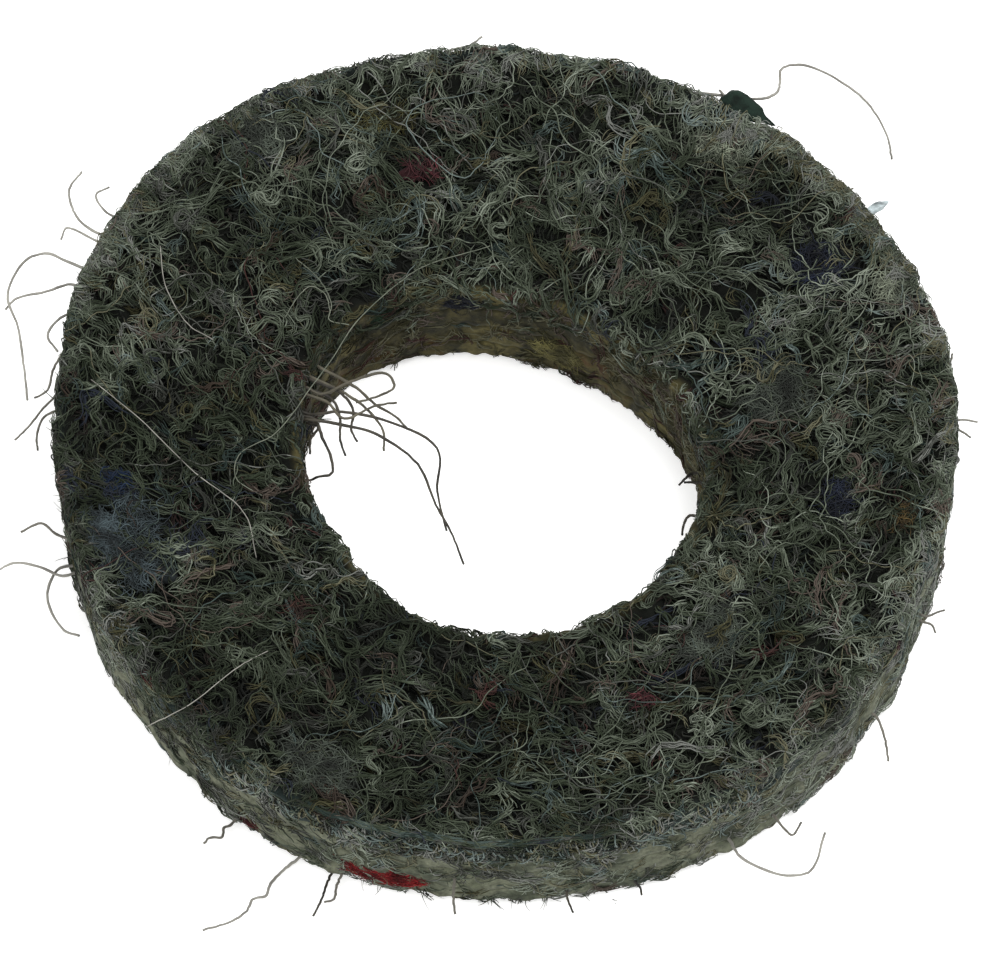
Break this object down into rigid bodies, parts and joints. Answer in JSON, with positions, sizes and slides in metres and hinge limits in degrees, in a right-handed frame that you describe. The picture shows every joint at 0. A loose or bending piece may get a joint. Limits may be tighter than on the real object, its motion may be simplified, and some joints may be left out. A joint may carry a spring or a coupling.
{
  "type": "felt polishing wheel",
  "caption": "Thick round ring of coarse recycled-wool felt with a central spindle hole, dark grey-green and hairy, with coloured rag wool in it.",
  "frame": {"origin": "on the wheel's axis at mid-thickness, which is the centre of its outer outline", "axes": "+Z along the spindle, out of the front face; +X to the right and +Y away from the viewer of the front face"},
  "size_m": [0.0267, 0.0273, 0.0036],
  "materials": {
    "dark_felt": "coarse, matted, hairy",
    "pale_felt": "coarse, cut edge",
    "blue_wool": "matted wool",
    "clear_chip": "translucent crumb",
    "dark_red_wool": "matted wool",
    "dark_chip": "dull plastic crumb",
    "green_wool": "matted wool",
    "crimson_wool": "matted wool",
    "navy_wool": "matted wool",
    "matted_wool": "matted wool",
    "ochre_wool": "matted wool",
    "olive_wool": "matted wool",
    "pale_wool": "matted wool",
    "red_wool": "matted wool",
    "russet_wool": "matted wool",
    "yellow_wool": "matted wool",
    "loose_hair": "single coarse wool hair"
  },
  "bodies": {
    "root": {"face_ply": "dark_felt", "upper_core_ply": "pale_felt", "lower_core_ply": "pale_felt", "back_ply": "pale_felt", "blue_wool_patch": "blue_wool", "clear_rim_chip": "clear_chip", "dark_red_tuft": "dark_red_wool", "dark_rim_chip": "dark_chip", "green_bore_wool": "green_wool", "left_rim_knot": "dark_red_wool", "lower_crimson_knot": "crimson_wool", "lower_navy_patch": "navy_wool", "matted_lump_1": "matted_wool", "matted_lump_2": "matted_wool", "matted_lump_3": "matted_wool", "matted_lump_4": "matted_wool", "navy_bore_wool": "navy_wool", "ochre_wool_patch": "ochre_wool", "olive_wool_patch": "olive_wool", "pale_burr": "pale_wool", "pale_fluff": "pale_wool", "red_wool_tuft": "red_wool", "right_rim_knot": "crimson_wool", "russet_wool_patch": "russet_wool", "upper_crimson_knot": "crimson_wool", "upper_navy_patch": "navy_wool", "yellow_bore_wool": "yellow_wool", "rim_hair_1": "loose_hair", "rim_hair_2": "loose_hair", "rim_hair_3": "loose_hair", "rim_hair_4": "loose_hair", "rim_hair_5": "loose_hair", "rim_hair_6": "loose_hair", "rim_hair_7": "loose_hair", "rim_hair_8": "loose_hair", "rim_hair_9": "loose_hair", "rim_hair_10": "loose_hair", "rim_hair_11": "loose_hair", "rim_hair_12": "loose_hair", "rim_hair_13": "loose_hair", "rim_hair_14": "loose_hair"}
  },
  "joints": []
}
